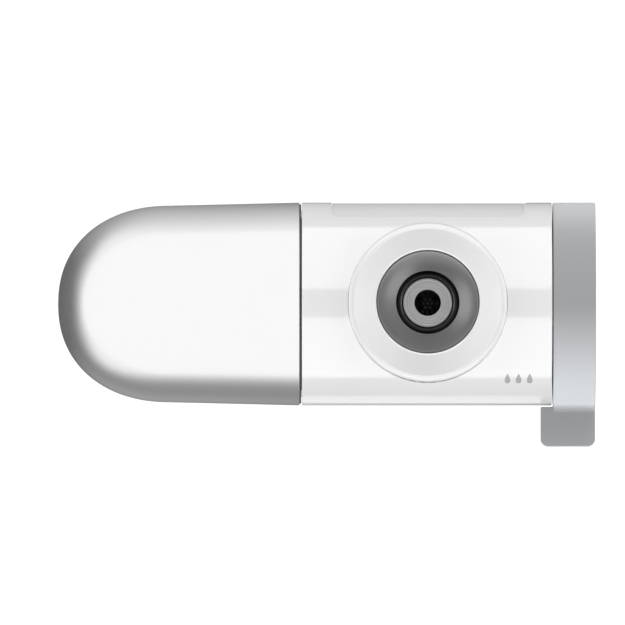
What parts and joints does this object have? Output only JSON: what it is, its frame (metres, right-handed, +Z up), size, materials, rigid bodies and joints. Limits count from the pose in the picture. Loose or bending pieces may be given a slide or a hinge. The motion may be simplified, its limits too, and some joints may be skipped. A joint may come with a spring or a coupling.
{
  "type": "faucet water filter",
  "caption": "Horizontal faucet-mounted water filter: white body with a spout collar on top, silver screw-off cartridge dome at one end and a selector lever at the other.",
  "frame": {"origin": "on the inlet axis, at the gasket face that the end of the spout lands on", "axes": "+X along the body towards the lever, +Y to the rear, +Z up along the faucet spout"},
  "size_m": [0.1507, 0.0684, 0.0772],
  "materials": {
    "white_plastic": "smooth gloss white",
    "panel_plastic": "smooth white, a shade greyer",
    "silver_finish": "satin silver paint",
    "dark_plastic": "satin dark grey",
    "black_rubber": "matt black",
    "pale_plastic": "satin pale grey",
    "chassis_plastic": "moulded, unpolished",
    "steel": "brushed",
    "brass_parts": "turned",
    "fleece": "felted",
    "carbon": "porous, matt black"
  },
  "bodies": {
    "housing": {"body_shell": "white_plastic", "rear_panel": "panel_plastic", "water_manifold": "chassis_plastic", "inlet_gasket": "black_rubber", "inlet_insert": "pale_plastic", "inlet_strainer": "steel", "adapter_ring": "dark_plastic", "valve_liner": "chassis_plastic", "valve_gland": "brass_parts", "outlet_housing": "white_plastic", "outlet_seal": "black_rubber", "shower_plate": "steel", "purified_nozzle": "steel", "nozzle_seal": "black_rubber", "housing_screws": "steel", "cartridge_base": "chassis_plastic", "cartridge_o_rings": "black_rubber", "cartridge_case": "chassis_plastic", "fleece_wrap": "fleece", "carbon_block": "carbon", "core_tube": "chassis_plastic"},
    "lever": {"selector_lever": "silver_finish", "lever_screw": "steel", "lever_cap": "silver_finish", "valve_spindle": "brass_parts", "spindle_o_rings": "black_rubber"},
    "collar_slip": {"slip_washer": "pale_plastic"},
    "collar": {"locking_collar": "white_plastic"},
    "cover_slip": {"cover_seal": "black_rubber"},
    "cover": {"filter_cover": "silver_finish", "cover_liner": "chassis_plastic"}
  },
  "joints": [
    {"name": "lever_turn", "type": "hinge", "parent": "housing", "child": "lever", "pos_m": [0.0353, 0, -0.0207], "axis": [1, 0, 0], "range_deg": [0, 90]},
    {"name": "collar_lift", "type": "slide", "parent": "housing", "child": "collar_slip", "axis": [0, 0, 1], "range_m": [0, 0.006]},
    {"name": "collar_turn", "type": "hinge", "parent": "collar_slip", "child": "collar", "pos_m": [0, 0, 0], "axis": [0, 0, 1], "range_deg": [0, 1081]},
    {"name": "cover_travel", "type": "slide", "parent": "housing", "child": "cover_slip", "axis": [-1, 0, 0], "range_m": [0, 0.009]},
    {"name": "cover_turn", "type": "hinge", "parent": "cover_slip", "child": "cover", "pos_m": [-0.0359, 0, -0.0207], "axis": [-1, 0, 0], "range_deg": [0, 1081]}
  ],
  "couplings": [
    {"joint": "collar_turn", "follows": "collar_lift", "rad_per_m": 3141.6},
    {"joint": "cover_turn", "follows": "cover_travel", "rad_per_m": 2094.4}
  ]
}
